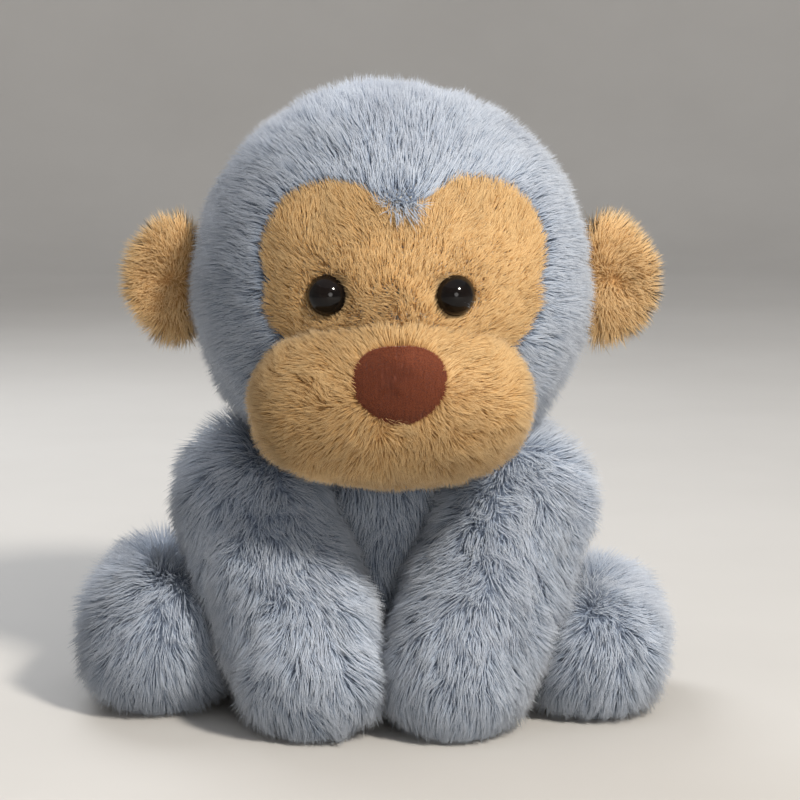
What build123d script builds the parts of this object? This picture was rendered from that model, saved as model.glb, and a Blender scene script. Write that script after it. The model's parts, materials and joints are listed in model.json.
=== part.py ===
"""A seated stuffed monkey: long-pile plush covers over fibre filling, sewn together at soft joints.

Millimetres, +Z up, the face towards -Y. The origin is on the ground, in the flat seat of the torso.
Every cover is a closed pocket of plush, and its filling is a separate solid inside it.
"""

import math
import os

from build123d import *

# ---- Driving dimensions ---------------------------------------------------------------------

PLUSH = 3.0  # thickness of backing cloth and pressed pile
FIT = 0.2  # gap between a filling and its cover
JOINT_GAP = 0.8  # gap between two pieces that move on each other
SEWN_GAP = 0.15  # gap between two pieces that are sewn edge to edge

HEAD_CENTRE = (0, -8, 169.5)
HEAD_RADIUS = 73
MUZZLE_CENTRE = (0, -70, 131)
MUZZLE_HALF_WIDTH = 51
MUZZLE_RADIUS = 31
MUZZLE_END_RADIUS = 26
NOSE_CENTRE = (3.5, 141)  # across, up
NOSE_HEIGHT = 1.8  # how far it stands out of the muzzle
EYE_RADIUS = 7.4
EYE_RISE = 5.2
EYE_PLACES = {"left": (-23.5, 171), "right": (24, 171)}  # across, up
FACE_LOBES = ((-19.5, 184), (29, 185))
FACE_LOBE_RADIUS = 25
FACE_LOWER_CENTRE = (4.5, 169)
FACE_LOWER_RADII = (48, 29.5)

EAR_HINGE_OUT = 79.5  # from the middle of the head to the ear's sewn edge
EAR_HINGE_DEPTH = -2
EAR_CENTRE_HEIGHT = 170
EAR_RADIUS = 24.5
EAR_HALF_THICK = 5
EAR_ROOT_HALF_HEIGHT = 18
BOWL_RADIUS = 20
BOWL_DEPTH = 3.5

# Height, middle of the section front to back, half width, half depth.
TORSO_SECTIONS = (
    (0, 24, 38, 34),
    (14, 27, 53, 47),
    (38, 28, 60, 52),
    (66, 25, 66, 48),
    (92, 16, 66, 42),
    (112, 12, 58, 36),
)
NECK_RADIUS = 11
NECK_BOTTOM = 72
POUCH_CENTRE = (0, 27, 14)
POUCH_RADIUS = 30
POUCH_HALF_HEIGHT = 8
POUCH_CLOTH = 1

# Each limb runs from its joint to its end: two centres with a radius round each.
ARMS = {
    "left": ((-54, -14, 82.5), 28, (-30.7, -53, 25.5), 26.5),
    "right": ((49.5, -14, 80.5), 27.5, (25.2, -54, 25.5), 26.5),
}
LEGS = {
    "left": ((-93, 26, 27), 27, (-92, -14, 27.5), 28.5),
    "right": ((84, 20, 24), 24.5, (80, -26, 23.5), 23.5),
}
TAIL = ((0, 85, 14), 9, (20, 122, 11), 9)
ARM_LIFT = 35  # degrees that each arm swings forward and up
LIFT_STEPS = 4
LIFT_EASE = 0.4  # extra room at each further step

STITCH_RADIUS = 0.5
STITCH_SPAN = 4.5
STITCH_COUNT = 9
STITCH_PITCH = 4.5
STITCH_LOW = 56

SIDES = {"left": -1, "right": 1}
WIDE = 400  # larger than the whole toy


# ---- Shapes that several pieces share -------------------------------------------------------


def ball(centre, radius):
    with BuildPart() as form:
        with Locations(centre):
            Sphere(radius)
    return form.part


def limb(start, start_radius, end, end_radius, grow=0.0, floor=0.0):
    """A tapered round-ended limb, flat where it stands on the ground."""
    run = Vector(*end) - Vector(*start)
    length = run.length
    first = start_radius + grow
    last = end_radius + grow
    slope = math.asin((first - last) / length)
    lean = (math.sin(slope), math.cos(slope))
    turn = math.degrees(slope)
    plane = Plane(origin=start, x_dir=run, z_dir=run.cross(Vector(0, 0, 1)))
    with BuildPart() as body:
        with BuildSketch(plane):
            with BuildLine():
                CenterArc((0, 0), first, 90 - turn, 90 + turn)
                Line((first * lean[0], first * lean[1]), (length + last * lean[0], last * lean[1]))
                CenterArc((length, 0), last, 0, 90 - turn)
                Line((-first, 0), (length + last, 0))
            make_face()
        revolve(axis=Axis(start, run))
        split(bisect_by=Plane.XY.offset(floor), keep=Keep.TOP)
    return body.part


def torso_form(inset, floor):
    """The torso as a smooth skin over level sections, made smaller all round by inset."""
    top = TORSO_SECTIONS[-1][0]
    with BuildPart() as form:
        for height, middle, half_width, half_depth in TORSO_SECTIONS:
            level = height if 0 < height < top else height - math.copysign(inset, height - 1)
            with BuildSketch(Plane.XY.offset(level)):
                with Locations((0, middle)):
                    Ellipse(half_width - inset, half_depth - inset)
        loft()
        split(bisect_by=Plane.XY.offset(floor), keep=Keep.TOP)
    return form.part


def head_ball(grow=0.0):
    return ball(HEAD_CENTRE, HEAD_RADIUS + grow)


def muzzle_form(grow=0.0):
    """The broad muzzle: an oval of tangent arcs across the face, turned about its long axis."""
    end_out = MUZZLE_HALF_WIDTH - MUZZLE_END_RADIUS
    rise = MUZZLE_RADIUS - MUZZLE_END_RADIUS
    crown_radius = (end_out**2 + MUZZLE_RADIUS**2 - MUZZLE_END_RADIUS**2) / (2 * rise)
    crown_down = crown_radius - MUZZLE_RADIUS
    join = math.degrees(math.atan2(crown_down, end_out))
    half_width = MUZZLE_HALF_WIDTH + grow
    with BuildPart() as form:
        with BuildSketch(Plane(origin=MUZZLE_CENTRE, x_dir=(1, 0, 0), z_dir=(0, 0, -1))):
            with BuildLine():
                CenterArc((end_out, 0), MUZZLE_END_RADIUS + grow, 0, join)
                CenterArc((0, -crown_down), crown_radius + grow, join, 180 - 2 * join)
                CenterArc((-end_out, 0), MUZZLE_END_RADIUS + grow, 180 - join, join)
                Line((-half_width, 0), (half_width, 0))
            make_face()
        revolve(axis=Axis(MUZZLE_CENTRE, (1, 0, 0)))
    return form.part


def face_column(shrink=0.0):
    """A column through the front of the head with the outline of the face patch."""
    with BuildPart() as column:
        with BuildSketch(Plane.XZ):
            for lobe in FACE_LOBES:
                with Locations(lobe):
                    Circle(FACE_LOBE_RADIUS - shrink)
            with Locations(FACE_LOWER_CENTRE):
                Ellipse(FACE_LOWER_RADII[0] - shrink, FACE_LOWER_RADII[1] - shrink)
        extrude(amount=WIDE)
    return column.part


def nose_column(shrink=0.0):
    """A column through the front of the muzzle with the outline of the nose: an oval, narrower at the bottom."""
    upper_radius = 12 - shrink
    with BuildPart() as column:
        with BuildSketch(Plane.XZ.offset(-MUZZLE_CENTRE[1])):
            with Locations(NOSE_CENTRE):
                with Locations((-5, 1), (5, 1)):
                    Circle(upper_radius)
                with Locations((0.4, -6)):
                    Circle(8.5 - shrink)
            make_hull()
        extrude(amount=WIDE)
    return column.part


def eye_plane(place):
    """The plane that touches the head where an eye sits, facing out."""
    across = place[0] - HEAD_CENTRE[0]
    up = place[1] - HEAD_CENTRE[2]
    out = Vector(across, -math.sqrt(HEAD_RADIUS**2 - across**2 - up**2), up)
    return Plane(origin=Vector(*HEAD_CENTRE) + out, z_dir=out)


# ---- Eyes, made first because the head is pierced for them ------------------------------------

STEM_RADIUS = 1.8
STEM_LENGTH = 13
RIDGE_RADIUS = 2.1
RIDGE_PITCH = 2.0
WASHER_RADIUS = 9
WASHER_THICK = 1.4
WASHER_DEPTH = PLUSH + 1.2
EYE_LIFT = 0.1  # keeps the flat back of the eye off the curved face


def build_eye(side):
    """A domed plastic eye with the ridged stem that goes through the cloth."""
    face = eye_plane(EYE_PLACES[side])
    ball_radius = (EYE_RADIUS**2 + EYE_RISE**2) / (2 * EYE_RISE)
    rim = EYE_LIFT + 0.6
    with BuildPart() as eye:
        with BuildSketch(face.offset(EYE_LIFT)):
            Circle(EYE_RADIUS)
        extrude(amount=0.6)
        with Locations(face.offset(rim + EYE_RISE - ball_radius)):
            Sphere(ball_radius)
        split(bisect_by=face.offset(EYE_LIFT), keep=Keep.TOP)
        with BuildSketch(face.offset(EYE_LIFT)):
            Circle(STEM_RADIUS)
        extrude(amount=-STEM_LENGTH)
        for ridge in range(2, 6):
            with BuildSketch(face.offset(-ridge * RIDGE_PITCH)):
                Circle(RIDGE_RADIUS)
            extrude(amount=-0.5)
        fillet(eye.faces().sort_by(Axis(face.origin, face.z_dir))[0].edges(), 0.5)
    eye.part.label = f"eye_{side}"
    return eye.part


def build_washer(side):
    """The toothed disc pushed on to the stem behind the cloth."""
    face = eye_plane(EYE_PLACES[side]).offset(-WASHER_DEPTH)
    with BuildPart() as washer:
        with BuildSketch(face):
            Circle(WASHER_RADIUS)
            Circle(RIDGE_RADIUS + 0.15, mode=Mode.SUBTRACT)
            with PolarLocations(RIDGE_RADIUS + 1.2, 6):
                Rectangle(1.6, 0.5, mode=Mode.SUBTRACT)
        extrude(amount=-WASHER_THICK)
    washer.part.label = f"eye_washer_{side}"
    return washer.part


def eye_room(side, radius, depth):
    """The hole or pocket that an eye's stem or washer needs."""
    with BuildPart() as room:
        with BuildSketch(eye_plane(EYE_PLACES[side]).offset(1)):
            Circle(radius)
        extrude(amount=-depth)
    return room.part


eyes = {side: build_eye(side) for side in SIDES}
washers = {side: build_washer(side) for side in SIDES}
stem_holes = [eye_room(side, RIDGE_RADIUS + 0.3, 12) for side in SIDES]
washer_pockets = [eye_room(side, WASHER_RADIUS + 0.5, 3 + PLUSH + STEM_LENGTH) for side in SIDES]


# ---- Head ---------------------------------------------------------------------------------------

head_outer = head_ball()
head_cavity = head_ball(-PLUSH)
head_filling = head_ball(-PLUSH - FIT)
face_opening = face_column()
face_cloth = face_column(SEWN_GAP)
muzzle_outer = muzzle_form()
muzzle_cavity = muzzle_form(-PLUSH)
muzzle_filling = muzzle_form(-PLUSH - FIT)
head_skin = head_ball(SEWN_GAP)

with BuildPart() as head_cover:
    add(head_outer)
    add(head_cavity, mode=Mode.SUBTRACT)
    add(face_opening, mode=Mode.SUBTRACT)

with BuildPart() as face_patch:
    add(head_outer)
    add(head_cavity, mode=Mode.SUBTRACT)
    add(face_cloth, mode=Mode.INTERSECT)
    add(stem_holes, mode=Mode.SUBTRACT)

with BuildPart() as head_stuffing:
    add(head_filling)
    add(washer_pockets, mode=Mode.SUBTRACT)

with BuildPart() as muzzle_cover:
    add(muzzle_outer)
    add(muzzle_cavity, mode=Mode.SUBTRACT)
    add(head_skin, mode=Mode.SUBTRACT)

with BuildPart() as muzzle_stuffing:
    add(muzzle_filling)
    add(head_skin, mode=Mode.SUBTRACT)

nose_outer = muzzle_form(NOSE_HEIGHT)
nose_seat = muzzle_form(SEWN_GAP)
nose_outline = nose_column()

with BuildPart() as nose_patch:
    add(nose_outer)
    add(nose_seat, mode=Mode.SUBTRACT)
    add(nose_outline, mode=Mode.INTERSECT)


# ---- Ears -----------------------------------------------------------------------------------------


def build_ear(side):
    """The front and back cloths of one ear, which meet halfway through its thickness."""
    hinge = SIDES[side] * EAR_HINGE_OUT
    middle = Plane.XZ.offset(-EAR_HINGE_DEPTH)
    bowl_depth = EAR_HINGE_DEPTH - EAR_HALF_THICK - BOWL_RADIUS + BOWL_DEPTH
    bowl_centre = (hinge + SIDES[side] * EAR_RADIUS / 2.3, bowl_depth, EAR_CENTRE_HEIGHT)
    bowl = ball(bowl_centre, BOWL_RADIUS)
    with BuildPart() as flap:
        with BuildSketch(middle.offset(-EAR_HALF_THICK)):
            with Locations((hinge, EAR_CENTRE_HEIGHT)):
                Circle(EAR_RADIUS)
                with Locations((-SIDES[side] * EAR_RADIUS, 0)):
                    Rectangle(2 * EAR_RADIUS, 2 * EAR_RADIUS, mode=Mode.SUBTRACT)
        extrude(amount=2 * EAR_HALF_THICK)
        fillet(flap.edges().filter_by(GeomType.CIRCLE), 0.8 * EAR_HALF_THICK)
        with Locations((hinge, EAR_HINGE_DEPTH, EAR_CENTRE_HEIGHT)):
            Cylinder(EAR_HALF_THICK, 2 * EAR_ROOT_HALF_HEIGHT)
    with BuildPart() as back:
        add(flap.part)
        split(bisect_by=middle.offset(-SEWN_GAP / 2), keep=Keep.BOTTOM)
    back.part.label = f"ear_{side}_back"
    with BuildPart() as front:
        add(flap.part)
        split(bisect_by=middle.offset(SEWN_GAP / 2), keep=Keep.TOP)
        add(bowl, mode=Mode.SUBTRACT)
    front.part.label = f"ear_{side}_front"
    return [front.part, back.part]


ears = [piece for side in SIDES for piece in build_ear(side)]


# ---- Limbs ----------------------------------------------------------------------------------------


def build_limb(name, shape):
    """A limb's plush cover and its filling."""
    outer = limb(*shape)
    cavity = limb(*shape, grow=-PLUSH, floor=PLUSH)
    filling = limb(*shape, grow=-PLUSH - FIT, floor=PLUSH + FIT)
    with BuildPart() as cover:
        add(outer)
        add(cavity, mode=Mode.SUBTRACT)
    cover.part.label = f"{name}_cover"
    filling.label = f"{name}_stuffing"
    return [cover.part, filling]


arms = [piece for side in SIDES for piece in build_limb(f"arm_{side}", ARMS[side])]
legs = [piece for side in SIDES for piece in build_limb(f"leg_{side}", LEGS[side])]


# ---- Tail -----------------------------------------------------------------------------------------


tail_outer = limb(*TAIL)
tail_cavity = limb(*TAIL, grow=-PLUSH)
tail_filling = limb(*TAIL, grow=-PLUSH - FIT)

with BuildPart() as tail_cover:
    add(tail_outer)
    add(tail_cavity, mode=Mode.SUBTRACT)

with BuildPart() as tail_stuffing:
    add(tail_filling)


# ---- Torso, hollowed where the head and limbs press into it --------------------------------------


def neighbours(grow):
    """The room in the torso for the head, tail and legs, and for the arms all through their swing."""
    room = [head_ball(grow), limb(*TAIL, grow=grow)]
    room += [limb(*shape, grow=grow, floor=-WIDE) for shape in LEGS.values()]
    for shape in ARMS.values():
        shoulder = Axis(shape[0], (-1, 0, 0))
        for step in range(LIFT_STEPS):
            swept = limb(*shape, grow=grow + step * LIFT_EASE, floor=-WIDE)
            room.append(swept.rotate(shoulder, ARM_LIFT * step / (LIFT_STEPS - 1)))
    return room


def neck_plug(grow):
    """The firm roll of filling under the head."""
    top = HEAD_CENTRE[2] - HEAD_RADIUS - JOINT_GAP
    with BuildPart() as plug:
        with BuildSketch(Plane.XY.offset(NECK_BOTTOM - grow)):
            with Locations(HEAD_CENTRE[:2]):
                Circle(NECK_RADIUS + grow)
        extrude(amount=top - NECK_BOTTOM + 8 * grow)
    return plug.part


def pouch(grow=0.0):
    """A flat round bag of pellets low in the torso."""
    with BuildPart() as bag:
        with Locations(POUCH_CENTRE):
            Cylinder(POUCH_RADIUS + grow, 2 * (POUCH_HALF_HEIGHT + grow))
        fillet(bag.edges().filter_by(GeomType.CIRCLE), 0.7 * (POUCH_HALF_HEIGHT + grow))
    return bag.part


def torso_block(inset, grow):
    """The torso, smaller all round by inset, with its neighbours' room taken out."""
    with BuildPart() as block:
        add(torso_form(inset, inset))
        for hollow in neighbours(grow):
            add(hollow, mode=Mode.SUBTRACT)
    return block.part


torso_outer = torso_block(0, JOINT_GAP)
torso_cavity = torso_block(PLUSH, JOINT_GAP + PLUSH)
torso_filling = torso_block(PLUSH + FIT, JOINT_GAP + PLUSH + FIT)
neck_room = neck_plug(JOINT_GAP)
pouch_outer = pouch()
pouch_inner = pouch(-POUCH_CLOTH)
pouch_room = pouch(FIT)
pellet_fill = pouch(-POUCH_CLOTH - FIT)

with BuildPart() as torso_cover:
    add(torso_outer)
    add(torso_cavity, mode=Mode.SUBTRACT)
    add(neck_room, mode=Mode.SUBTRACT)

with BuildPart() as torso_stuffing:
    add(torso_filling)
    add(neck_room, mode=Mode.SUBTRACT)
    add(pouch_room, mode=Mode.SUBTRACT)

with BuildPart() as neck_stuffing:
    add(neck_plug(0))

with BuildPart() as pellet_pouch:
    add(pouch_outer)
    add(pouch_inner, mode=Mode.SUBTRACT)

with BuildPart() as pellets:
    add(pellet_fill)


def back_surface(height):
    """How far back the torso's skin is at a height, in the middle of its back."""
    ray = Axis((0, 0, height), (0, 1, 0))
    return max(point.Y for point, _ in torso_outer.find_intersection_points(ray))


with BuildPart() as closing_stitches:
    for number in range(STITCH_COUNT):
        height = STITCH_LOW + number * STITCH_PITCH
        with Locations(Location((0, back_surface(height) + STITCH_RADIUS + FIT, height), (0, 90, 0))):
            Cylinder(STITCH_RADIUS, STITCH_SPAN)


# ---- Labels and files ------------------------------------------------------------------------------

named = {
    "head_cover": head_cover,
    "face_patch": face_patch,
    "head_stuffing": head_stuffing,
    "muzzle_cover": muzzle_cover,
    "muzzle_stuffing": muzzle_stuffing,
    "nose_patch": nose_patch,
    "neck_stuffing": neck_stuffing,
    "torso_cover": torso_cover,
    "torso_stuffing": torso_stuffing,
    "pellet_pouch": pellet_pouch,
    "pellets": pellets,
    "closing_stitches": closing_stitches,
    "tail_cover": tail_cover,
    "tail_stuffing": tail_stuffing,
}
for name, piece in named.items():
    piece.part.label = name

pieces = [piece.part for piece in named.values()]
pieces += [*eyes.values(), *washers.values(), *ears, *arms, *legs]

os.makedirs("parts", exist_ok=True)
for piece in pieces:
    export_step(piece, f"parts/{piece.label}.step")
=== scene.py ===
"""A seated stuffed monkey: padded skins with a pile of plush fibres, glossy eyes and a velour nose.

Metres, +Z up, the face towards -Y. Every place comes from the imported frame. Fibres are closed, tapered
meshes whose UV map holds the shade of the fibre across and the way from root to tip upwards.
"""

import itertools
import json
import math

import bpy
import numpy as np
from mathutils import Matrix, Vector
from mathutils.bvhtree import BVHTree
from mathutils.kdtree import KDTree


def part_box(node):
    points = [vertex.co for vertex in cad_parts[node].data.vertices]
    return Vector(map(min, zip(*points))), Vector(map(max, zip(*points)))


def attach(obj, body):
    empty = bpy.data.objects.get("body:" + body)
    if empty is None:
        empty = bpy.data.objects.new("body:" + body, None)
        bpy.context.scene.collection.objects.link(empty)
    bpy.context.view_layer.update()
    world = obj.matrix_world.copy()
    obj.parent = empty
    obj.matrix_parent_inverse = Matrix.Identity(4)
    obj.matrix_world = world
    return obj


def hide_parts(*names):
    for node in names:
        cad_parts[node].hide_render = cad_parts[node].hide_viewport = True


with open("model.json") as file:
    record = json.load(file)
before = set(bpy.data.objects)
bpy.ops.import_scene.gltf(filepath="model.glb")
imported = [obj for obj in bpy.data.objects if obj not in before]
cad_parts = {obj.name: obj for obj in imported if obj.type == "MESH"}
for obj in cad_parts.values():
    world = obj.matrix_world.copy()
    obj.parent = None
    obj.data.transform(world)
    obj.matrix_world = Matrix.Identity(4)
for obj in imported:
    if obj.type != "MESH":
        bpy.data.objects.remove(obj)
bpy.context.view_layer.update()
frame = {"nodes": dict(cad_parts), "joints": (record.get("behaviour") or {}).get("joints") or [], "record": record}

MM = 0.001
FIBRE_MAP = "OFBake"  # the UV map that the fibre materials read
SKIN_INSET = 1.7 * MM  # from the CAD surface, which is at half pile, in to the backing cloth
FLOOR_GAP = 0.4 * MM  # fibres end at least this far above the floor
EDGE_LAP = 1.015  # how much wider than its fibres the face patch is
NEAR_FILLING = 5 * MM  # a skin further than this from its filling can't let it show
CLOTH_THICK = 0.7 * MM  # of the open skins that meet round the face
RAY_START = 0.4  # metres, further out than any piece
SWELL_FRAMES = 20  # of cloth simulation
PRESSED = 1.5 * MM  # how far fibres reach into the pile of a neighbour
SHORTEST = 0.25  # the least of its length that a fibre keeps there
SOFTNESS = 0.65  # how far the fibres are lit as one surface, from 0 to 1
COMBED_LEAN = 0.9  # how far combed fibres lean, whatever the length of the comb's vectors
BIG_SWIRL, SMALL_SWIRL = 14 * MM, 5 * MM  # sizes of the wandering in their lean
LENGTH_WAVE, LENGTH_WAVE_SIZE = 0.16, 9 * MM  # how much their length varies from place to place
LOWER_HALF, UPPER_HALF = 0.48, 0.56  # lengths of a fibre's two straight halves, as shares of its own
HALF_WIDTH = 0.85  # width at half length, as a share of the width at the root
ROOT_V, HALF_V, TIP_V = 0.03, 0.5, 0.97  # places along a fibre in its UV map
SIDE_SHADE = 0.012  # how much the shade differs between the sides of one fibre
BROAD_SHADE, FINE_SHADE = 22 * MM, 6 * MM  # sizes of the lighter and darker places
SIDES = {"left": -1, "right": 1}

JOINTS = {joint["name"]: Vector(joint["pos_m"]) for joint in frame["joints"]}


# ---- Arrays of points and directions --------------------------------------------------------


def unit(vectors):
    """Each row made one long."""
    return vectors / np.maximum(np.linalg.norm(vectors, axis=1, keepdims=True), 1e-9)


def hashed(cells, seed):
    """A fixed random number from -1 to 1 for each whole-number cell."""
    primes = np.array((73856093, 19349663, 83492791))
    bits = (cells * primes + seed * 7919).sum(axis=1)
    bits = (bits ^ (bits >> 13)) * 1274126177
    bits = (bits ^ (bits >> 16)) & 0xFFFFFF
    return bits / 0x7FFFFF - 1


def noise(points, size, seed=0):
    """Smooth noise from -1 to 1 at each point, with features about size metres across."""
    grid = points / size
    cell = np.floor(grid).astype(np.int64)
    part = grid - cell
    part = part * part * (3 - 2 * part)
    total = np.zeros(len(points))
    for corner in itertools.product((0, 1), repeat=3):
        weight = np.prod(np.where(corner, part, 1 - part), axis=1)
        total += weight * hashed(cell + np.array(corner), seed)
    return total


def noise_vectors(points, size, seed=0):
    """Smooth noise in each of the three directions."""
    return np.stack([noise(points, size, seed + axis) for axis in (0, 1, 2)], axis=1)


def tangential(vectors, normals):
    """The part of each vector that lies along the surface."""
    return vectors - (vectors * normals).sum(axis=1, keepdims=True) * normals


def bell(distance, width):
    """One where the distance is nothing, falling to nothing over about twice the width."""
    return np.exp(-((distance / width) ** 2))


# ---- Skins ----------------------------------------------------------------------------------


def apply_modifiers(piece):
    """Replaces the piece's mesh with what its modifiers make of it."""
    evaluated = piece.evaluated_get(bpy.context.evaluated_depsgraph_get())
    mesh = bpy.data.meshes.new_from_object(evaluated)
    piece.modifiers.clear()
    piece.data = mesh


def vertex_array(mesh):
    """The places of a mesh's vertices, one row each."""
    co = np.zeros(len(mesh.vertices) * 3)
    mesh.vertices.foreach_get("co", co)
    return co.reshape(-1, 3)


def set_vertices(mesh, co):
    mesh.vertices.foreach_set("co", co.astype(np.float32).ravel())
    mesh.update()


def vertex_normals(mesh):
    normals = np.zeros(len(mesh.vertices) * 3)
    mesh.vertex_normals.foreach_get("vector", normals)
    return normals.reshape(-1, 3)


def node_tree(nodes):
    """One search tree over the surfaces of some CAD nodes."""
    points, faces = [], []
    for node in nodes:
        mesh = frame["nodes"][node].data
        start = len(points)
        points += [vertex.co.copy() for vertex in mesh.vertices]
        faces += [[start + index for index in polygon.vertices] for polygon in mesh.polygons]
    return BVHTree.FromPolygons(points, faces)


def new_object(name, data):
    """An object in the scene with this mesh, light or camera."""
    piece = bpy.data.objects.new(name, data)
    bpy.context.scene.collection.objects.link(piece)
    return piece


def box_round(nodes):
    """The lowest and the highest corner of the box round some CAD nodes."""
    boxes = [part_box(node) for node in nodes]
    low = Vector([min(box[0][axis] for box in boxes) for axis in range(3)])
    high = Vector([max(box[1][axis] for box in boxes) for axis in range(3)])
    return low, high


def middle(*nodes):
    """The middle of the box round some CAD nodes."""
    low, high = box_round(nodes)
    return (low + high) / 2


def wrap(name, nodes, inset=SKIN_INSET, detail=5, smooth=1):
    """A closed skin drawn over the outside of some CAD nodes, then pulled in by inset."""
    centre = middle(*nodes)
    tree = node_tree(nodes)
    bpy.ops.mesh.primitive_ico_sphere_add(subdivisions=detail, radius=1)
    ball = bpy.context.object
    mesh = ball.data.copy()
    bpy.data.objects.remove(ball)
    directions = vertex_array(mesh)
    co = np.zeros_like(directions)
    for index, direction in enumerate(directions):
        out = Vector(direction).normalized()
        hit = tree.ray_cast(centre + out * RAY_START, -out)[0]
        co[index] = hit if hit is not None else centre
    edges = np.zeros(len(mesh.edges) * 2, np.int64)
    mesh.edges.foreach_get("vertices", edges)
    edges = edges.reshape(-1, 2)
    for _ in range(smooth):
        co = relaxed(co, edges)
    set_vertices(mesh, co)
    set_vertices(mesh, co - vertex_normals(mesh) * inset)
    mesh.shade_smooth()
    return new_object(name, mesh)


def relaxed(co, edges, amount=0.5):
    """Every vertex moved part of the way to the average of its neighbours."""
    total = np.zeros_like(co)
    count = np.zeros(len(co))
    for here, there in (edges.T, edges.T[::-1]):
        np.add.at(total, here, co[there])
        np.add.at(count, here, 1)
    return co * (1 - amount) + amount * total / np.maximum(count, 1)[:, None]


def stuff(skin, pressure=4.0, cap=1.6 * MM):
    """Swells the skin as cloth under pressure, then doubles its detail."""
    swell(skin, pressure, cap)
    finer = skin.modifiers.new("Finer", "SUBSURF")
    finer.levels = finer.render_levels = 1
    apply_modifiers(skin)
    return skin


def swell(skin, pressure, cap):
    """Cloth simulation without gravity. No vertex moves further than cap."""
    rest = vertex_array(skin.data)
    cloth = skin.modifiers.new("Cloth", "CLOTH")
    cloth.settings.quality = 4
    cloth.settings.use_pressure = True
    cloth.settings.uniform_pressure_force = pressure
    cloth.settings.effector_weights.gravity = 0
    cloth.settings.shrink_min = -0.02
    scene = bpy.context.scene
    for number in range(1, SWELL_FRAMES + 1):
        scene.frame_set(number)
    swollen = skin.evaluated_get(bpy.context.evaluated_depsgraph_get())
    co = vertex_array(swollen.data)
    skin.modifiers.remove(cloth)
    scene.frame_set(1)
    shift = co - rest
    size = np.linalg.norm(shift, axis=1, keepdims=True)
    shift *= np.minimum(1, cap / np.maximum(size, 1e-9))
    set_vertices(skin.data, rest + shift)


def cover(skin, *nodes, gap=1.2 * MM):
    """Moves the skin outwards wherever it would let the filling under it show."""
    tree = node_tree(nodes)
    co = vertex_array(skin.data)
    for index, point in enumerate(co):
        near, normal, _, distance = tree.find_nearest(point, NEAR_FILLING)
        if near is not None and (Vector(point) - near).dot(normal) < gap:
            co[index] = near + normal * gap
    set_vertices(skin.data, co)
    return skin


def pinch(skin, shape):
    """Moves every point of the skin along its normal by shape(points), in metres."""
    co = vertex_array(skin.data)
    set_vertices(skin.data, co + vertex_normals(skin.data) * shape(co)[:, None])
    return skin


# ---- Fibres ---------------------------------------------------------------------------------


class Pile:
    """How one kind of plush stands. Lengths are in metres, and stand, gather and uneven from 0 to 1."""

    def __init__(
        self, length, width, density, stand, bend, clump, gather, wild=0.15, uneven=0.2, sway=0.4
    ):
        self.length = length
        self.width = width  # across a fibre at its root
        self.density = density  # fibres to a square metre
        self.stand = stand  # 1 stands straight up from the cloth, 0 lies along it
        self.bend = bend  # how much further the tip leans than the root
        self.clump = clump  # distance between tufts
        self.gather = gather  # how far tips are drawn to the middle of their tuft
        self.wild = wild  # random lean
        self.uneven = uneven  # random length
        self.sway = sway  # how much the lean wanders from place to place


def surface_samples(mesh, density, random):
    """Points spread evenly over a mesh, and the smooth normal at each."""
    mesh.calc_loop_triangles()
    corners = np.zeros(len(mesh.loop_triangles) * 3, np.int64)
    mesh.loop_triangles.foreach_get("vertices", corners)
    corners = corners.reshape(-1, 3)
    co = vertex_array(mesh)[corners]
    normals = vertex_normals(mesh)[corners]
    area = np.linalg.norm(np.cross(co[:, 1] - co[:, 0], co[:, 2] - co[:, 0]), axis=1) / 2
    count = int(area.sum() * density)
    chosen = np.searchsorted(np.cumsum(area), random.random(count) * area.sum())
    chosen = np.minimum(chosen, len(area) - 1)
    along, across = random.random((2, count))
    folded = along + across > 1
    along[folded], across[folded] = 1 - along[folded], 1 - across[folded]
    weights = np.stack((1 - along - across, along, across), axis=1)[:, :, None]
    return (co[chosen] * weights).sum(axis=1), unit((normals[chosen] * weights).sum(axis=1))


def nearest_tuft(points, tufts):
    """Which tuft each point belongs to."""
    tree = KDTree(len(tufts))
    for index, tuft in enumerate(tufts):
        tree.insert(tuft, index)
    tree.balance()
    return np.array([tree.find(point)[1] for point in points])


BODY_COVERS = {
    "head": ["head_cover", "face_patch", "muzzle_cover"],
    "torso": ["torso_cover"],
    "arm_left": ["arm_left_cover"],
    "arm_right": ["arm_right_cover"],
    "leg_left": ["leg_left_cover"],
    "leg_right": ["leg_right_cover"],
}
BODY_TREES = {body: node_tree(nodes) for body, nodes in BODY_COVERS.items()}


def room_to_grow(roots, tips, body):
    """The share of its length that each fibre keeps, so that it ends soon after it meets another body."""
    room = np.ones(len(roots))
    for other, tree in BODY_TREES.items():
        if other == body:
            continue
        low, high = (np.array(corner) for corner in box_round(BODY_COVERS[other]))
        for index in np.flatnonzero(((tips > low) & (tips < high)).all(axis=1)):
            root = Vector(roots[index])
            along = Vector(tips[index]) - root
            distance = tree.ray_cast(root, along, along.length)[3]
            if distance is not None:
                share = max((distance + PRESSED) / along.length, SHORTEST)
                room[index] = min(room[index], share)
    return room


def fibre_lean(roots, normals, pile, comb, seed):
    """Which way fibres lean along the surface: as combed, with swirls of two sizes."""
    lean = tangential(comb(roots, normals), normals)
    size = np.linalg.norm(lean, axis=1, keepdims=True)
    lean *= np.clip(COMBED_LEAN / np.maximum(size, 1e-6), 0.6, 2.5)
    lean = lean + tangential(noise_vectors(roots, BIG_SWIRL, seed), normals) * pile.sway
    return lean + tangential(noise_vectors(roots, SMALL_SWIRL, seed + 5), normals) * pile.sway * 0.7


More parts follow.
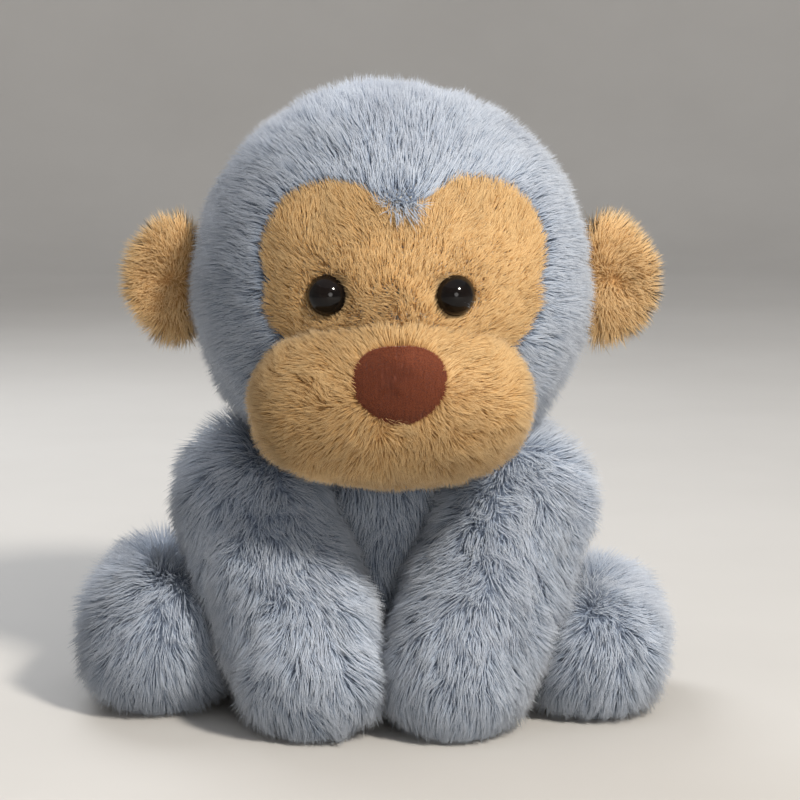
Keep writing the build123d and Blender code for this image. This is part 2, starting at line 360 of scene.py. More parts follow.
def gather_tufts(roots, half, tip, pile, random):
    """Draws each fibre towards the leader of its tuft. Also returns each fibre's tuft and their number."""
    count = len(roots)
    tufts = max(1, int(count / (pile.density * pile.clump**2)))
    leaders = random.permutation(count)[:tufts]
    tuft = nearest_tuft(roots, roots[leaders])
    leader = leaders[tuft]
    pull = pile.gather * (0.55 + 0.45 * random.random(count))[:, None]
    tip_size = np.linalg.norm(tip - roots, axis=1, keepdims=True)
    drawn = tip + (tip[leader] - tip) * pull
    tip = roots + unit(drawn - roots) * tip_size
    half = half + (half[leader] - half) * pull * 0.35
    return half, tip, tuft, len(leaders)


def fibre_shade(roots, tuft, tufts, seed, random):
    """How light each fibre is, from 0 to 1: it varies by place, by tuft and by fibre."""
    tuft_shade = random.random(tufts)[tuft]
    shade = 0.5 + 0.22 * noise(roots, BROAD_SHADE, seed + 21) + 0.16 * noise(roots, FINE_SHADE, seed + 31)
    shade += 0.25 * (tuft_shade - 0.5)
    return np.clip(shade + 0.22 * (random.random(len(roots)) - 0.5), 0.03, 0.97)


def grow(name, skin, body, pile, comb, material, seed, keep=None, trim=None, parts=1):
    """Covers a skin in fibres that lean the way comb(points, normals) says.

    keep(points) says where they stand, and trim(points) scales their length. The pieces that they are
    parted into, by their direction from the middle seen from above, are all on the same body.
    """
    random = np.random.default_rng(seed)
    roots, normals = surface_samples(skin.data, pile.density, random)
    if keep is not None:
        kept = keep(roots)
        roots, normals = roots[kept], normals[kept]
    count = len(roots)
    lean = fibre_lean(roots, normals, pile, comb, seed)
    jitter = random.normal(0, pile.wild, (count, 3))
    first = unit(normals * pile.stand + lean * (1 - pile.stand) + jitter)
    second = unit(first + lean * pile.bend)
    length = pile.length * (1 + LENGTH_WAVE * noise(roots, LENGTH_WAVE_SIZE, seed + 11))
    if trim is not None:
        length = length * trim(roots)
    length = length * (1 - pile.uneven * random.random(count) ** 0.7)
    half = roots + first * (length * LOWER_HALF)[:, None]
    tip = half + second * (length * UPPER_HALF)[:, None]
    half, tip, tuft, tufts = gather_tufts(roots, half, tip, pile, random)

    floor = FLOOR_GAP * (1 + random.random(count))
    half[:, 2] = np.maximum(half[:, 2], floor)
    tip[:, 2] = np.maximum(tip[:, 2], floor)
    room = room_to_grow(roots, tip, body)[:, None]
    half = roots + (half - roots) * room
    tip = roots + (tip - roots) * room

    shade = fibre_shade(roots, tuft, tufts, seed, random)
    thick = pile.width / 2 * (0.8 + 0.4 * random.random(count))
    turn = np.arctan2(roots[:, 1] - roots[:, 1].mean(), roots[:, 0] - roots[:, 0].mean())
    for number, part in enumerate(np.array_split(np.argsort(turn), parts)):
        part_name = name if parts == 1 else f"{name}_{number + 1}"
        shapes = (array[part] for array in (roots, half, tip, thick, shade, normals))
        mesh = fibre_mesh(part_name, *shapes)
        mesh.materials.append(material)
        piece = new_object(part_name, mesh)
        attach(piece, body)


def fibre_mesh(name, roots, half, tip, thick, shade, skin_normals):
    """Closed three-sided fibres: a ring at the root, one at half length, and a point.

    They are lit partly as the soft surface that they make up together, by skin_normals.
    """
    count = len(roots)
    along = unit(tip - roots)
    side = unit(np.cross(along, np.roll(along, 1, axis=1) + 0.31))
    other = np.cross(along, side)
    rings = np.zeros((count, 7, 3))
    facing = np.zeros((count, 7, 3))
    maps = np.zeros((count, 7, 2))
    for corner in range(3):
        angle = 2 * math.pi * corner / 3
        out = (side * math.cos(angle) + other * math.sin(angle)) * thick[:, None]
        rings[:, corner] = roots + out
        rings[:, 3 + corner] = half + out * HALF_WIDTH
        lit = unit(unit(out) * (1 - SOFTNESS) + skin_normals * SOFTNESS)
        facing[:, corner] = facing[:, 3 + corner] = lit
        maps[:, corner, 0] = maps[:, 3 + corner, 0] = shade + SIDE_SHADE * (corner - 1)
        maps[:, corner, 1] = ROOT_V
        maps[:, 3 + corner, 1] = HALF_V
    rings[:, 6] = tip
    facing[:, 6] = unit(along * (1 - SOFTNESS) + skin_normals * SOFTNESS)
    maps[:, 6, 0] = shade
    maps[:, 6, 1] = TIP_V
    faces = [(2, 1, 0)]
    for corner in range(3):
        after = (corner + 1) % 3
        faces += [(corner, after, 3 + after), (corner, 3 + after, 3 + corner)]
        faces.append((3 + corner, 3 + after, 6))
    pattern = np.array(faces)
    indices = (pattern[None] + (np.arange(count) * 7)[:, None, None]).reshape(-1)
    mesh = bpy.data.meshes.new(name)
    mesh.vertices.add(count * 7)
    mesh.vertices.foreach_set("co", rings.astype(np.float32).ravel())
    mesh.loops.add(len(indices))
    mesh.loops.foreach_set("vertex_index", indices.astype(np.int32))
    mesh.polygons.add(len(indices) // 3)
    mesh.polygons.foreach_set("loop_start", np.arange(0, len(indices), 3, dtype=np.int32))
    mesh.polygons.foreach_set("use_smooth", np.ones(len(indices) // 3, bool))
    fibre_map = mesh.uv_layers.new(name=FIBRE_MAP)
    fibre_map.uv.foreach_set("vector", maps.reshape(-1, 2)[indices].astype(np.float32).ravel())
    mesh.update(calc_edges=True)
    normal = mesh.attributes.new("custom_normal", "FLOAT_VECTOR", "POINT")
    normal.data.foreach_set("vector", facing.astype(np.float32).ravel())
    return mesh


# ---- Materials ------------------------------------------------------------------------------


def new_material(name):
    """An empty node material with its shader: returns the material, its nodes, links and shader."""
    material = bpy.data.materials.new(name)
    material.use_nodes = True
    nodes = material.node_tree.nodes
    return material, nodes, material.node_tree.links, nodes["Principled BSDF"]


def ramp(nodes, stops):
    """A colour ramp from a list of (place, colour)."""
    node = nodes.new("ShaderNodeValToRGB")
    elements = node.color_ramp.elements
    while len(elements) < len(stops):
        elements.new(0.5)
    for element, (place, colour) in zip(elements, stops):
        element.position = place
        element.color = (*colour, 1)
    return node


def multiplied(nodes, links, first, second):
    """The product of two colours."""
    node = nodes.new("ShaderNodeMix")
    node.data_type = "RGBA"
    node.blend_type = "MULTIPLY"
    node.inputs["Factor"].default_value = 1.0
    links.new(first, node.inputs[6])
    links.new(second, node.inputs[7])
    return node.outputs[2]


def fibre_material(name, root, body, tip, roughness=0.6, sheen=0.12, spread=0.28):
    """Plush fibres: dark at the root as painted shade deep in the pile, paler at the tip, and each tuft a little
    lighter or darker.
    """
    material, nodes, links, shader = new_material(name)
    place = nodes.new("ShaderNodeUVMap")
    place.uv_map = FIBRE_MAP
    parts = nodes.new("ShaderNodeSeparateXYZ")
    links.new(place.outputs["UV"], parts.inputs[0])
    # the root colour is painted shade deep in the pile
    length = ramp(nodes, [(0.0, root), (0.45, body), (1.0, tip)])
    links.new(parts.outputs["Y"], length.inputs[0])
    low = 1 - spread
    shade = ramp(nodes, [(0.0, (low, low, low * 1.02)), (0.5, (1 - spread / 3,) * 3), (1.0, (1.0,) * 3)])
    links.new(parts.outputs["X"], shade.inputs[0])
    colour = multiplied(nodes, links, length.outputs[0], shade.outputs[0])
    links.new(colour, shader.inputs["Base Color"])
    shader.inputs["Roughness"].default_value = roughness
    shader.inputs["Specular IOR Level"].default_value = 0.15
    shader.inputs["Sheen Weight"].default_value = sheen
    shader.inputs["Sheen Roughness"].default_value = 0.5
    return material


def bumped(nodes, links, shader, height, distance, strength=0.6):
    """Fine relief, distance metres deep, from a height output."""
    bump = nodes.new("ShaderNodeBump")
    bump.inputs["Strength"].default_value = strength
    bump.inputs["Distance"].default_value = distance
    links.new(height, bump.inputs["Height"])
    links.new(bump.outputs[0], shader.inputs["Normal"])


def coordinates(nodes):
    return nodes.new("ShaderNodeTexCoord").outputs["Object"]


def noise_node(nodes, links, scale, detail=4.0, roughness=0.6):
    node = nodes.new("ShaderNodeTexNoise")
    node.inputs["Scale"].default_value = scale
    node.inputs["Detail"].default_value = detail
    node.inputs["Roughness"].default_value = roughness
    links.new(coordinates(nodes), node.inputs["Vector"])
    return node.outputs[0]


def cloth_material(name, dark, light, knit=1.2 * MM):
    """Backing cloth with cut fibre roots: knitted rows under mottled colour."""
    material, nodes, links, shader = new_material(name)
    mottled = ramp(nodes, [(0.3, dark), (0.7, light)])
    links.new(noise_node(nodes, links, 260), mottled.inputs[0])
    links.new(mottled.outputs[0], shader.inputs["Base Color"])
    rows = nodes.new("ShaderNodeTexWave")
    rows.inputs["Scale"].default_value = 1 / knit / 6
    rows.inputs["Distortion"].default_value = 2.0
    rows.inputs["Detail"].default_value = 2.0
    links.new(coordinates(nodes), rows.inputs["Vector"])
    bumped(nodes, links, shader, rows.outputs[1], 0.4 * MM)
    shader.inputs["Roughness"].default_value = 0.9
    shader.inputs["Sheen Weight"].default_value = 0.3
    return material


def eye_material():
    """Black moulded plastic, polished, with faint haze."""
    material, nodes, links, shader = new_material("polished_black_plastic")
    tone = ramp(nodes, [(0.35, (0.003, 0.0025, 0.0025)), (0.75, (0.008, 0.005, 0.004))])
    links.new(noise_node(nodes, links, 90), tone.inputs[0])
    links.new(tone.outputs[0], shader.inputs["Base Color"])
    haze = ramp(nodes, [(0.3, (0.07,) * 3), (0.8, (0.14,) * 3)])
    links.new(noise_node(nodes, links, 400), haze.inputs[0])
    links.new(haze.outputs[0], shader.inputs["Roughness"])
    shader.inputs["Specular IOR Level"].default_value = 0.22
    return material


def plastic_material(name, dark, light, roughness, scale=500):
    """Plain moulded plastic with a fine grain."""
    material, nodes, links, shader = new_material(name)
    tone = ramp(nodes, [(0.3, dark), (0.7, light)])
    grain = noise_node(nodes, links, scale)
    links.new(grain, tone.inputs[0])
    links.new(tone.outputs[0], shader.inputs["Base Color"])
    bumped(nodes, links, shader, grain, 0.05 * MM, 0.3)
    shader.inputs["Roughness"].default_value = roughness
    return material


# The first colour of each is its root, darkened as painted shade deep in the pile.
BLUE = fibre_material("blue_plush_fibres", (0.10, 0.13, 0.20), (0.34, 0.405, 0.51), (0.66, 0.71, 0.79))
TAN = fibre_material("tan_plush_fibres", (0.22, 0.095, 0.026), (0.54, 0.32, 0.125), (0.77, 0.565, 0.31))
EAR_TAN = fibre_material("ear_plush_fibres", (0.28, 0.13, 0.04), (0.62, 0.38, 0.16), (0.90, 0.68, 0.40))
NOSE = fibre_material(
    "nose_velour_fibres",
    (0.07, 0.015, 0.006),
    (0.17, 0.042, 0.018),
    (0.25, 0.075, 0.034),
    roughness=0.8,
    sheen=0.2,
)
BLUE_CLOTH = cloth_material("blue_backing_cloth", (0.20, 0.25, 0.34), (0.28, 0.34, 0.44))
TAN_CLOTH = cloth_material("tan_backing_cloth", (0.42, 0.24, 0.09), (0.54, 0.32, 0.13))
NOSE_CLOTH = cloth_material("nose_velour_cloth", (0.08, 0.018, 0.008), (0.15, 0.036, 0.016))
FILLING = cloth_material("fibre_filling", (0.70, 0.70, 0.68), (0.86, 0.86, 0.84), 3 * MM)
POUCH_CLOTH = cloth_material("pouch_cotton", (0.62, 0.60, 0.54), (0.78, 0.76, 0.70), 0.6 * MM)
THREAD = cloth_material("sewing_thread", (0.24, 0.31, 0.43), (0.36, 0.45, 0.60), 0.5 * MM)
EYE = eye_material()
WASHER = plastic_material("washer_plastic", (0.70, 0.70, 0.68), (0.80, 0.80, 0.78), 0.45)
PELLETS = plastic_material("pellet_plastic", (0.60, 0.60, 0.60), (0.85, 0.85, 0.85), 0.4, 300)


# ---- Frame points that shapes are worked out from ---------------------------------------------

HEAD = np.array(middle("head_stuffing"))
FACE = np.array(middle("face_patch"))
NOSE_MIDDLE = np.array(middle("nose_patch"))
CROWN = np.array((-13 * MM, HEAD[1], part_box("head_cover")[1].z))  # where a tuft stands up
EYES = {side: np.array(middle(f"eye_{side}")) for side in SIDES}
EYE_RADIUS = (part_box("eye_left")[1].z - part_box("eye_left")[0].z) / 2

face_tree = node_tree(["face_patch"])
NOTCH_DEPTH = 9 * MM  # of the dip in the top of the face's outline
FACE_NOTCH = np.array((FACE[0], FACE[1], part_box("face_patch")[1].z - NOTCH_DEPTH))


def in_face(points):
    """Which points lie within the outline of the face patch."""
    inside = np.zeros(len(points), bool)
    near = points[:, 1] < HEAD[1]
    for index in np.flatnonzero(near):
        outward = Vector(points[index] - HEAD).normalized()
        hit = face_tree.ray_cast(Vector(HEAD), outward)[0]
        inside[index] = hit is not None
    return inside


# ---- Pieces -----------------------------------------------------------------------------------


def dress(skin, body, nodes, material):
    """Puts a finished skin on its body in place of its CAD nodes."""
    skin.data.materials.clear()
    skin.data.materials.append(material)
    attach(skin, body)
    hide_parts(*nodes)
    return skin


def split_skin(skin, name, mask):
    """Takes the faces whose middle passes mask out of the skin, as a skin of their own."""
    mesh = skin.data
    co = vertex_array(mesh)
    faces = np.zeros(len(mesh.loops), np.int64)
    mesh.loops.foreach_get("vertex_index", faces)
    faces = faces.reshape(-1, 3)
    taken = mask(co[faces].mean(axis=1))
    pieces = []
    for chosen in (taken, ~taken):
        used, renumbered = np.unique(faces[chosen], return_inverse=True)
        part = bpy.data.meshes.new(name)
        part.from_pydata(co[used].tolist(), [], renumbered.reshape(-1, 3).tolist())
        part.shade_smooth()
        pieces.append(part)
    taken_skin = new_object(name, pieces[0])
    skin.data = pieces[1]
    for piece in (taken_skin, skin):
        shell = piece.modifiers.new("Cloth thickness", "SOLIDIFY")
        shell.thickness = CLOTH_THICK
        shell.offset = -1
    return taken_skin


BACK_START = 8 * MM  # behind the middle of the face patch, where the pile starts to turn back
BACK_BLEND = 55 * MM  # over what depth it turns
BACK_FLOW = np.array((0, 0.55, -0.75))  # the way it lies on the back of the head
BROW_WIDTH = 11 * MM  # of the tuft that hangs into the notch over the face
FACE_RIM, FACE_RIM_WIDTH = 48 * MM, 12 * MM  # the ring round the middle of the face with shorter pile
CROWN_WIDTH = 9 * MM  # of the tuft that stands up


def build_head():
    """The head: a blue skin and a face patch parted from it, each with its pile."""
    skin = stuff(wrap("head_skin", ["head_cover", "face_patch", "head_stuffing"]))
    cover(skin, "head_stuffing")
    whole = new_object("head_whole", skin.data.copy())
    face = split_skin(skin, "face_skin", in_face)
    for piece in (skin, face):
        apply_modifiers(piece)
    dress(skin, "head", ["head_cover"], BLUE_CLOTH)
    dress(face, "head", ["face_patch"], TAN_CLOTH)

    def blue_comb(points, normals):
        away = points - FACE
        away[:, 1] *= 0.4
        down = np.array((0, 0, -1.0))
        behind = np.clip((points[:, 1:2] - FACE[1] - BACK_START) / BACK_BLEND, 0, 1)
        flow = unit(tangential(away, normals)) * (1 - behind) + BACK_FLOW * behind
        flow = unit(flow) * 0.85
        peak = FACE_NOTCH + np.array((0, 0, -2 * MM))
        aside = np.linalg.norm((points - peak)[:, (0, 2)], axis=1)
        brow = bell(aside, BROW_WIDTH)[:, None] * (1 - behind)
        return flow * (1 - brow) + down * 0.9 * brow

    def blue_keep(points):
        return ~(in_face(points) | muzzle_inside(points))

    def blue_trim(points):
        away = np.linalg.norm((points - FACE)[:, (0, 2)], axis=1)
        crown = np.linalg.norm(points - CROWN, axis=1)
        return 1 - 0.2 * bell(away - FACE_RIM, FACE_RIM_WIDTH) + 0.35 * bell(crown, CROWN_WIDTH)

    grow("head_fur", whole, "head", HEAD_PILE, blue_comb, BLUE, 1, blue_keep, blue_trim, 6)

    def face_comb(points, normals):
        away = points - (FACE + np.array((0, 0, -22 * MM)))
        away[:, 1] = 0
        return unit(unit(tangential(away, normals)) + np.array((0, 0, 0.35)))

    def face_keep(points):
        near_eye = ~in_face(FACE + (points - FACE) * EDGE_LAP)
        for eye in EYES.values():
            near_eye |= np.linalg.norm((points - eye)[:, (0, 2)], axis=1) < EYE_RADIUS * 0.9
        return in_face(points) & ~near_eye & ~muzzle_inside(points)

    grow("face_fur", whole, "head", FACE_PILE, face_comb, TAN, 2, face_keep, eye_trim, 2)
    bpy.data.objects.remove(whole)


def eye_trim(points):
    """The pile is shorter round the eyes."""
    length = np.ones(len(points))
    for eye in EYES.values():
        length -= 0.35 * bell(np.linalg.norm((points - eye)[:, (0, 2)], axis=1) - EYE_RADIUS, 3 * MM)
    return length


MUZZLE_LOW, MUZZLE_HIGH = (np.array(corner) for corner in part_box("muzzle_cover"))
MUZZLE_HALF = ((MUZZLE_HIGH - MUZZLE_LOW) / 2)[[0, 2]]  # half its width and half its height
WELL_INSIDE = 0.86  # of the way from the middle of the muzzle, or of the nose, to its edge
CREASE_DEPTH, CREASE_WIDTH = 0.8 * MM, 4.5 * MM  # of the dip under the nose
CREASE_DROP = 8 * MM  # how far under the middle of the nose it starts, and over what height it deepens
CREASE_FRONT = 8 * MM  # how far before the middle of the muzzle it ends
HIDDEN_BEHIND = 69 * MM  # from the middle of the head: nearer than this the muzzle is inside it
MUZZLE = np.array((0, MUZZLE_LOW[1] + MUZZLE_HALF[1], MUZZLE_LOW[2] + MUZZLE_HALF[1]))


def muzzle_inside(points):
    """Which points lie well inside the muzzle."""
    offset = (points - MUZZLE) / np.array((MUZZLE_HALF[0], MUZZLE_HALF[1], MUZZLE_HALF[1]))
    return np.linalg.norm(offset, axis=1) < WELL_INSIDE


def build_muzzle():
    """The wide soft muzzle, with a shallow crease under the nose."""
    skin = wrap("muzzle_skin", ["muzzle_cover", "muzzle_stuffing"], inset=1.4 * MM)

    def crease(points):
        below = np.clip((NOSE_MIDDLE[2] - CREASE_DROP - points[:, 2]) / CREASE_DROP, 0, 1)
        front = points[:, 1] < MUZZLE[1] - CREASE_FRONT
        return -CREASE_DEPTH * bell(points[:, 0] - NOSE_MIDDLE[0], CREASE_WIDTH) * below * front

    pinch(stuff(skin, cap=1.0 * MM), crease)
    cover(skin, "muzzle_stuffing")
    dress(skin, "head", ["muzzle_cover"], TAN_CLOTH)

    def comb(points, normals):
        away = unit((points - NOSE_MIDDLE) * np.array((1, 0.6, 1)))
        return away + np.array((0, 0.25, -0.12))

    def keep(points):
        behind = np.linalg.norm(points - HEAD, axis=1) < HIDDEN_BEHIND
        return ~behind & ~nose_inside(points)

    grow("muzzle_fur", skin, "head", MUZZLE_PILE, comb, TAN, 3, keep, None, 3)


NOSE_LOW, NOSE_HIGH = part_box("nose_patch")
NOSE_TURNS, NOSE_RINGS = 64, 9
NOSE_DOME = 1.6 * MM  # how far its middle stands out
NOSE_TUCK = 1.2 * MM  # how far its edge goes in
NOSE_THICK = 2.5 * MM
NOSE_EDGE = 0.9  # of the way out, where the depth at the edge is read
NOSE_WAVES = 4  # how many waves round the outline are kept
BEFORE_NOSE = 0.02  # metres in front of it, where rays start


def nose_inside(points):
    """Which points of the muzzle the nose covers."""
    half = (np.array(NOSE_HIGH) - np.array(NOSE_LOW))[[0, 2]] / 2
    offset = (points - NOSE_MIDDLE)[:, (0, 2)] / half
    return (np.linalg.norm(offset, axis=1) < WELL_INSIDE) & (points[:, 1] < MUZZLE[1])


def nose_place(reach, turn):
    """The x and z of the point that lies reach away from the middle of the nose."""
    return NOSE_MIDDLE[0] + reach * math.cos(turn), NOSE_MIDDLE[2] + reach * math.sin(turn)


def nose_outline(tree, turns):
    """How far the nose reaches from its middle in each direction, as one soft oval."""
    reach = []
    for turn in turns:
        low, high = 0.0, 30 * MM
        for _ in range(14):
            tried = (low + high) / 2
            x, z = nose_place(tried, turn)
            if tree.ray_cast((x, NOSE_LOW.y - BEFORE_NOSE, z), (0, 1, 0), 2 * BEFORE_NOSE)[0] is None:
                high = tried
            else:
                low = tried
        reach.append(low)
    waves = np.fft.rfft(reach)
    waves[NOSE_WAVES:] = 0
    return np.fft.irfft(waves, len(reach))


def build_nose():
    """A padded patch that follows the muzzle, domed in the middle and tucked in at its edge."""
    tree = node_tree(["nose_patch"])
    turns = np.linspace(0, 2 * math.pi, NOSE_TURNS, endpoint=False)
    reach = nose_outline(tree, turns)
    shares = np.sin(np.linspace(0, math.pi / 2, NOSE_RINGS + 1))[1:]
    front, back = [], []
    for share in shares:
        for turn, radius in zip(turns, reach):
            x, z = nose_place(share * radius, turn)
            probe_x, probe_z = nose_place(min(share, NOSE_EDGE) * radius, turn)
            probe = (probe_x, NOSE_LOW.y - BEFORE_NOSE, probe_z)
            depth = tree.ray_cast(probe, (0, 1, 0))[0].y
            dome = NOSE_DOME * (1 - share**2) - NOSE_TUCK * share**6
            front.append((x, depth - dome, z))
            back.append((x, depth + NOSE_THICK, z))
    count = len(front)
    verts = front + back + [
        (NOSE_MIDDLE[0], NOSE_LOW.y - NOSE_DOME, NOSE_MIDDLE[2]),
        (NOSE_MIDDLE[0], NOSE_LOW.y + NOSE_THICK, NOSE_MIDDLE[2]),
    ]
    faces, behind = [], []
    for step in range(NOSE_TURNS):
        after = (step + 1) % NOSE_TURNS
        faces.append((2 * count, step, after))
        behind.append((2 * count + 1, count + after, count + step))
        for ring in range(NOSE_RINGS - 1):
            low, high = ring * NOSE_TURNS, (ring + 1) * NOSE_TURNS
            faces.append((low + step, high + step, high + after, low + after))
            low, high = low + count, high + count
            behind.append((low + after, high + after, high + step, low + step))
        rim = (NOSE_RINGS - 1) * NOSE_TURNS
        behind.append((rim + step, rim + count + step, rim + count + after, rim + after))
    fronts = bpy.data.meshes.new("nose_front")
    fronts.from_pydata(verts, [], faces)
    mesh = bpy.data.meshes.new("nose_skin")
    mesh.from_pydata(verts, [], faces + behind)
    mesh.shade_smooth()
    skin = new_object("nose_skin", mesh)
    dress(skin, "head", ["nose_patch"], NOSE_CLOTH)

    def comb(points, normals):
        away = points - NOSE_MIDDLE
        away[:, 1] = 0
        size = np.linalg.norm(away, axis=1, keepdims=True)
        return unit(away) * (size / reach.mean()) ** 2 + np.array((0.1, 0, -0.35))

    front_skin = new_object("nose_front", fronts)
    grow("nose_fur", front_skin, "head", NOSE_PILE, comb, NOSE, 4)
    bpy.data.objects.remove(front_skin)


EAR_THINNING = 0.55  # how much thinner an ear is at its edge, from 0 to 1


def build_ears():
    """Two round ears, padded in the middle and thin at the edge."""
    for number, (side, sign) in enumerate(SIDES.items()):
        nodes = [f"ear_{side}_front", f"ear_{side}_back"]
        skin = stuff(wrap(f"ear_{side}_skin", nodes, inset=1.2 * MM, smooth=2), cap=1.0 * MM)
        dress(skin, f"ear_{side}", nodes, TAN_CLOTH)
        centre = np.array(middle(*nodes))
        radius = (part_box(nodes[1])[1].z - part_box(nodes[1])[0].z) / 2
        co = vertex_array(skin.data)
        share = np.clip(np.linalg.norm((co - centre)[:, (0, 2)], axis=1) / radius, 0, 1)
        co[:, 1] = centre[1] + (co[:, 1] - centre[1]) * (1 - EAR_THINNING * share**4)
        set_vertices(skin.data, co)

        def comb(points, normals):
            away = points - centre
            splay = away * np.array((0, 1, 0)) / radius
            away[:, 1] = 0
            return unit(away) * 0.8 + splay + np.array((sign * 0.4, 0, -0.15))

        def trim(points):
            """Short in the middle of the ear, full length at its edge."""
            away = np.linalg.norm((points - centre)[:, (0, 2)], axis=1) / radius
            return 0.62 + 0.42 * np.clip(away, 0, 1) ** 2

        name = f"ear_{side}_fur"
        grow(name, skin, f"ear_{side}", EAR_PILE, comb, EAR_TAN, 5 + number, None, trim)


def down_comb(out=0.25):
    """Fibres that hang down and a little away from the middle of the piece."""

    def comb(points, normals):
        away = points - points.mean(axis=0)
        away[:, 2] = 0
        return np.array((0, 0, -1.0)) + unit(away) * out

    return comb


UNDER_HEAD = 71.5 * MM  # from the middle of the head: nearer than this the torso has no pile


def build_torso():
    """The torso and the neck as one skin, bare where the head rests on it."""
    skin = stuff(wrap("torso_skin", ["torso_cover", "torso_stuffing", "neck_stuffing"]))
    cover(skin, "torso_stuffing")
    dress(skin, "torso", ["torso_cover"], BLUE_CLOTH)

    def keep(points):
        return np.linalg.norm(points - HEAD, axis=1) > UNDER_HEAD

    grow("torso_fur", skin, "torso", BODY_PILE, down_comb(), BLUE, 11, keep, None, 4)


LIMB_PARTS = {"arm": 3, "leg": 2}  # how many pieces the fibres of each limb are parted into
LIMB_TOP = 14 * MM  # how far down from its top a limb's pile is longer


def build_limbs():
    """Two arms and two hind legs, with longer pile at their tops."""
    for number, side in enumerate(SIDES):
        for kind, parts in LIMB_PARTS.items():
            body = f"{kind}_{side}"
            skin = stuff(wrap(f"{body}_skin", [f"{body}_cover"]))
            cover(skin, f"{body}_stuffing")
            dress(skin, body, [f"{body}_cover"], BLUE_CLOTH)
            pile = ARM_PILE if kind == "arm" else LEG_PILE
            seed = 20 + 10 * number + parts
            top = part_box(f"{body}_cover")[1].z

            def trim(points):
                return 1 + 0.35 * bell(top - points[:, 2], LIMB_TOP)

            grow(f"{body}_fur", skin, body, pile, down_comb(), BLUE, seed, None, trim, parts)


def build_tail():
    """A short tail whose pile points away from its root."""
    skin = stuff(wrap("tail_skin", ["tail_cover"], detail=4), cap=1.0 * MM)
    cover(skin, "tail_stuffing")
    dress(skin, "tail", ["tail_cover"], BLUE_CLOTH)
    root = np.array(JOINTS["tail_swing"])

    def comb(points, normals):
        return unit(points - root) + np.array((0, 0, -0.3))

    grow("tail_fur", skin, "tail", TAIL_PILE, comb, BLUE, 50)


PER_MM2 = 1e6
HEAD_PILE = Pile(
    length=10.5 * MM, width=0.30 * MM, density=1.9 * PER_MM2,
    stand=0.58, bend=0.35, clump=4.0 * MM, gather=0.30, sway=0.45,
)
FACE_PILE = Pile(
    length=6.2 * MM, width=0.27 * MM, density=3.9 * PER_MM2,
    stand=0.48, bend=0.4, clump=2.4 * MM, gather=0.36, wild=0.2, sway=0.6,
)
MUZZLE_PILE = Pile(
    length=6.6 * MM, width=0.25 * MM, density=3.4 * PER_MM2,
    stand=0.48, bend=0.35, clump=2.6 * MM, gather=0.3, sway=0.75,
)
NOSE_PILE = Pile(
    length=1.1 * MM, width=0.15 * MM, density=16.0 * PER_MM2,
    stand=0.6, bend=0.2, clump=1.0 * MM, gather=0.1, sway=0.2,
)
EAR_PILE = Pile(
    length=10.5 * MM, width=0.26 * MM, density=3.0 * PER_MM2,
    stand=0.5, bend=0.35, clump=3.0 * MM, gather=0.3, wild=0.26,
)
BODY_PILE = Pile(
    length=12.0 * MM, width=0.34 * MM, density=1.2 * PER_MM2,
    stand=0.5, bend=0.45, clump=4.5 * MM, gather=0.4,
)
ARM_PILE = Pile(
    length=12.0 * MM, width=0.31 * MM, density=1.8 * PER_MM2,
    stand=0.48, bend=0.45, clump=4.6 * MM, gather=0.45, sway=0.6,
)
LEG_PILE = Pile(
    length=12.0 * MM, width=0.31 * MM, density=1.6 * PER_MM2,
    stand=0.5, bend=0.45, clump=4.6 * MM, gather=0.42, sway=0.6,
)
TAIL_PILE = Pile(
    length=10.0 * MM, width=0.31 * MM, density=1.5 * PER_MM2,
    stand=0.5, bend=0.4, clump=4.0 * MM, gather=0.4,
)

build_head()
build_muzzle()
build_nose()
build_ears()
build_torso()
build_limbs()
build_tail()


# ---- CAD nodes that stay ------------------------------------------------------------------------

FINISHES = {
    "eye_plastic": EYE,
    "washer_plastic": WASHER,
    "fibre_filling": FILLING,
    "pouch_cotton": POUCH_CLOTH,
    "pellet_plastic": PELLETS,
    "thread": THREAD,
}
for subpart in frame["record"]["subparts"]:
    if subpart["material_slot"] in FINISHES:
        mesh = frame["nodes"][subpart["node"]].data
        mesh.materials.clear()
        mesh.materials.append(FINISHES[subpart["material_slot"]])
        mesh.shade_smooth()


# ---- Floor, lights and camera ---------------------------------------------------------------------

FLOOR_RADIUS, WALL_CURVE, WALL_HEIGHT = 2.0, 1.0, 3.0
FLOOR_ROUNDS = 96  # steps round the floor


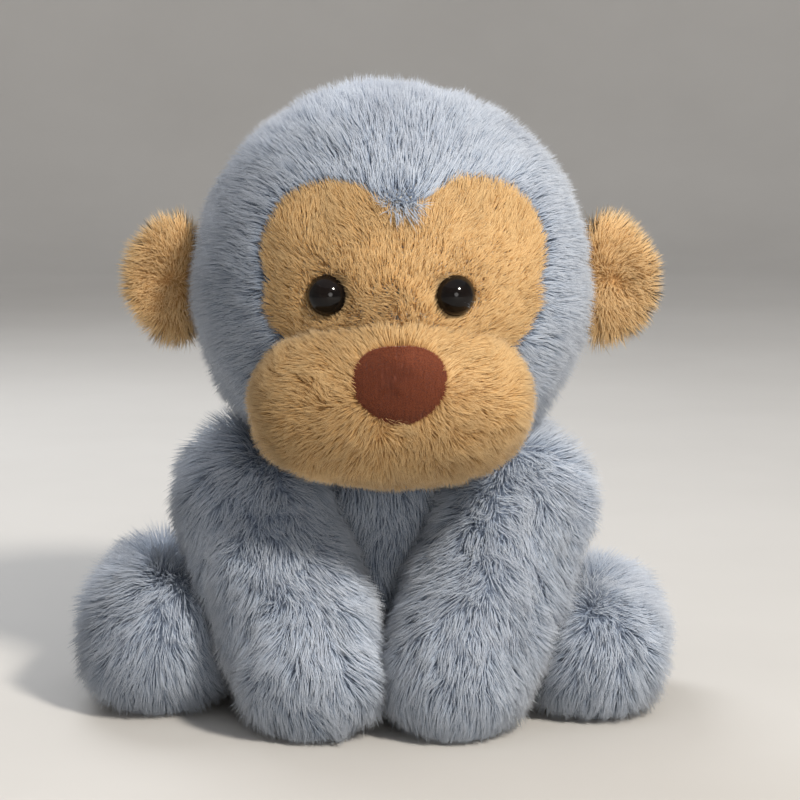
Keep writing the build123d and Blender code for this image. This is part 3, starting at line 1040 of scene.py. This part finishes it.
def build_floor():
    """A round pale sheet that curves up into a wall all round, so no horizon shows."""
    curve = [(radius, 0.0) for radius in np.linspace(0.0, FLOOR_RADIUS, 9)]
    for turn in np.linspace(0, math.pi / 2, 13)[1:]:
        curve.append((FLOOR_RADIUS + WALL_CURVE * math.sin(turn), WALL_CURVE * (1 - math.cos(turn))))
    curve.append((FLOOR_RADIUS + WALL_CURVE, WALL_HEIGHT))
    verts, faces = [], []
    for radius, height in curve:
        for step in range(FLOOR_ROUNDS):
            angle = 2 * math.pi * step / FLOOR_ROUNDS
            verts.append((radius * math.cos(angle), radius * math.sin(angle), height))
    for row in range(len(curve) - 1):
        for step in range(FLOOR_ROUNDS):
            after = (step + 1) % FLOOR_ROUNDS
            low, high = row * FLOOR_ROUNDS, (row + 1) * FLOOR_ROUNDS
            faces.append((low + step, low + after, high + after, high + step))
    mesh = bpy.data.meshes.new("floor")
    mesh.from_pydata(verts, [], faces)
    mesh.shade_smooth()
    floor = new_object("floor", mesh)
    material, nodes, links, shader = new_material("pale_floor")
    tone = ramp(nodes, [(0.3, (0.52, 0.51, 0.49)), (0.7, (0.56, 0.55, 0.53))])
    links.new(noise_node(nodes, links, 3), tone.inputs[0])
    links.new(tone.outputs[0], shader.inputs["Base Color"])
    shader.inputs["Roughness"].default_value = 0.8
    floor.data.materials.append(material)


def area_light(name, place, target, size, power, colour):
    """A round soft light at place, size metres across, turned to target."""
    lamp = bpy.data.lights.new(name, "AREA")
    lamp.shape = "DISK"
    lamp.size = size
    lamp.energy = power
    lamp.color = colour
    light = new_object(name, lamp)
    light.location = place
    light.rotation_euler = (Vector(target) - Vector(place)).to_track_quat("-Z", "Y").to_euler()


def build_studio():
    """An even grey-white surrounding, a warm key light from the right, and weak front and rim lights."""
    world = bpy.data.worlds.new("studio")
    bpy.context.scene.world = world
    world.use_nodes = True
    world.node_tree.nodes["Background"].inputs["Color"].default_value = (0.92, 0.94, 1.0, 1)
    world.node_tree.nodes["Background"].inputs["Strength"].default_value = 0.58
    chest, feet = (0, 0, 0.13), (0, 0, 0.05)
    area_light("key", (0.85, -1.25, 1.35), chest, size=0.26, power=44, colour=(1.0, 0.93, 0.84))
    area_light("front", (0.35, -1.6, 0.40), feet, size=0.6, power=5, colour=(1.0, 0.97, 0.93))
    area_light("rim", (-0.4, 0.8, 0.9), chest, size=0.7, power=7, colour=(0.95, 0.97, 1.0))
    bpy.context.scene.view_settings.view_transform = "Standard"


def build_camera():
    """A long lens in front of the face, looking slightly down."""
    distance = 1.0
    elevation = math.radians(8)
    target = Vector((0.0035, 0, 0.1215))
    lens = bpy.data.cameras.new("camera")
    lens.sensor_width = 36
    lens.lens = 112.5
    camera = new_object("camera", lens)
    back = Vector((0, -math.cos(elevation), math.sin(elevation)))
    camera.location = target + back * distance
    camera.rotation_euler = (-back).to_track_quat("-Z", "Y").to_euler()
    bpy.context.scene.camera = camera


build_floor()
build_studio()
build_camera()
